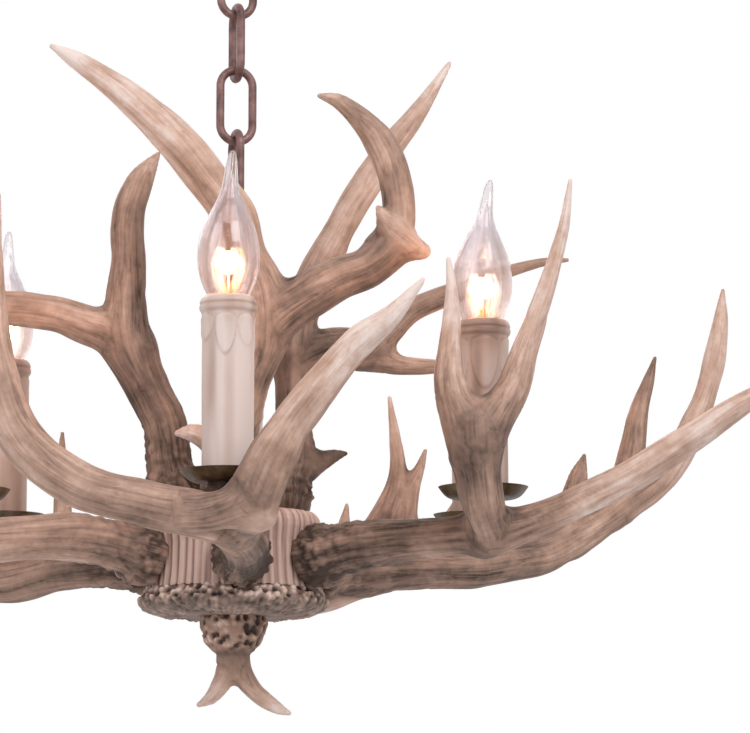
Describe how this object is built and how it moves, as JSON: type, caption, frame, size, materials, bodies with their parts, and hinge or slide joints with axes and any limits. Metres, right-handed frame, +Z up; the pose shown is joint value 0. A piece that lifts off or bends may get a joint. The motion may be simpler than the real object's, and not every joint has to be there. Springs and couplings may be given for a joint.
{
  "type": "antler chandelier",
  "caption": "Hanging chandelier of branched antler arms round a laced hub, with candle lights on dishes, upright antlers above, a forked pendant below and a link chain to a ceiling canopy.",
  "frame": {"origin": "on the ceiling, at the centre of the ceiling strap", "axes": "+Z up to the ceiling, -Y towards the front arm's candle, +X to the right"},
  "size_m": [0.6202, 0.4675, 0.5737],
  "materials": {
    "antler_resin": "cast resin antler, weathered brown with pale tips and dark grooves",
    "laced_resin": "cast resin with upright ribs",
    "dark_iron": "brown rust-effect paint, satin",
    "steel": "zinc plated",
    "bronze": "dark antique bronze",
    "wax": "wax-effect ivory, with drips",
    "holder_plastic": "moulded, off-white",
    "bulb_glass": "clear",
    "bulb_cap": "rolled thread"
  },
  "bodies": {
    "ceiling_fitting": {"ceiling_strap": "dark_iron", "canopy": "dark_iron", "canopy_nipple": "steel", "canopy_nut": "steel", "canopy_eye": "dark_iron"},
    "link_5": {"chain_link_5": "dark_iron"},
    "link_4": {"chain_link_4": "dark_iron"},
    "link_3": {"chain_link_3": "dark_iron"},
    "link_2": {"chain_link_2": "dark_iron"},
    "link_1": {"chain_link_1": "dark_iron"},
    "chandelier": {"stem_eye": "dark_iron", "stem_tube": "dark_iron", "stem_nut": "steel", "hub_drum": "laced_resin", "hub_core": "steel", "burr_ring": "antler_resin", "finial": "antler_resin", "antler_screws": "steel", "candle_nipples": "steel", "front_arm_antler": "antler_resin", "front_right_arm_antler": "antler_resin", "back_right_arm_antler": "antler_resin", "back_arm_antler": "antler_resin", "back_left_arm_antler": "antler_resin", "front_left_arm_antler": "antler_resin", "front_upright_antler": "antler_resin", "right_upright_antler": "antler_resin", "left_upright_antler": "antler_resin", "drip_dish_1": "bronze", "lampholder_1": "holder_plastic", "candle_sleeve_1": "wax", "drip_dish_2": "bronze", "lampholder_2": "holder_plastic", "candle_sleeve_2": "wax", "drip_dish_3": "bronze", "lampholder_3": "holder_plastic", "candle_sleeve_3": "wax", "drip_dish_4": "bronze", "lampholder_4": "holder_plastic", "candle_sleeve_4": "wax", "drip_dish_5": "bronze", "lampholder_5": "holder_plastic", "candle_sleeve_5": "wax", "drip_dish_6": "bronze", "lampholder_6": "holder_plastic", "candle_sleeve_6": "wax"},
    "bulb_1": {"bulb_glass_1": "bulb_glass", "bulb_cap_1": "bulb_cap"},
    "bulb_2": {"bulb_glass_2": "bulb_glass", "bulb_cap_2": "bulb_cap"},
    "bulb_3": {"bulb_glass_3": "bulb_glass", "bulb_cap_3": "bulb_cap"},
    "bulb_4": {"bulb_glass_4": "bulb_glass", "bulb_cap_4": "bulb_cap"},
    "bulb_5": {"bulb_glass_5": "bulb_glass", "bulb_cap_5": "bulb_cap"},
    "bulb_6": {"bulb_glass_6": "bulb_glass", "bulb_cap_6": "bulb_cap"}
  },
  "joints": [
    {"name": "chain_swing_top", "type": "hinge", "parent": "ceiling_fitting", "child": "link_5", "pos_m": [0, 0, -0.06115], "axis": [0.9681, 0.2504, 0], "range_deg": [-12, 12]},
    {"name": "chain_swing_5", "type": "hinge", "parent": "link_5", "child": "link_4", "pos_m": [0, 0, -0.1009], "axis": [-0.2504, 0.9681, 0], "range_deg": [-12, 12]},
    {"name": "chain_swing_4", "type": "hinge", "parent": "link_4", "child": "link_3", "pos_m": [0, 0, -0.1409], "axis": [0.9681, 0.2504, 0], "range_deg": [-12, 12]},
    {"name": "chain_swing_3", "type": "hinge", "parent": "link_3", "child": "link_2", "pos_m": [0, 0, -0.1809], "axis": [-0.2504, 0.9681, 0], "range_deg": [-12, 12]},
    {"name": "chain_swing_2", "type": "hinge", "parent": "link_2", "child": "link_1", "pos_m": [0, 0, -0.2209], "axis": [0.9681, 0.2504, 0], "range_deg": [-12, 12]},
    {"name": "chandelier_swing", "type": "hinge", "parent": "link_1", "child": "chandelier", "pos_m": [0, 0, -0.2609], "axis": [-0.2504, 0.9681, 0], "range_deg": [-12, 12]},
    {"name": "bulb_1_out", "type": "slide", "parent": "chandelier", "child": "bulb_1", "axis": [0, 0, 1], "range_m": [0, 0.022]},
    {"name": "bulb_2_out", "type": "slide", "parent": "chandelier", "child": "bulb_2", "axis": [0, 0, 1], "range_m": [0, 0.022]},
    {"name": "bulb_3_out", "type": "slide", "parent": "chandelier", "child": "bulb_3", "axis": [0, 0, 1], "range_m": [0, 0.022]},
    {"name": "bulb_4_out", "type": "slide", "parent": "chandelier", "child": "bulb_4", "axis": [0, 0, 1], "range_m": [0, 0.022]},
    {"name": "bulb_5_out", "type": "slide", "parent": "chandelier", "child": "bulb_5", "axis": [0, 0, 1], "range_m": [0, 0.022]},
    {"name": "bulb_6_out", "type": "slide", "parent": "chandelier", "child": "bulb_6", "axis": [0, 0, 1], "range_m": [0, 0.022]}
  ]
}
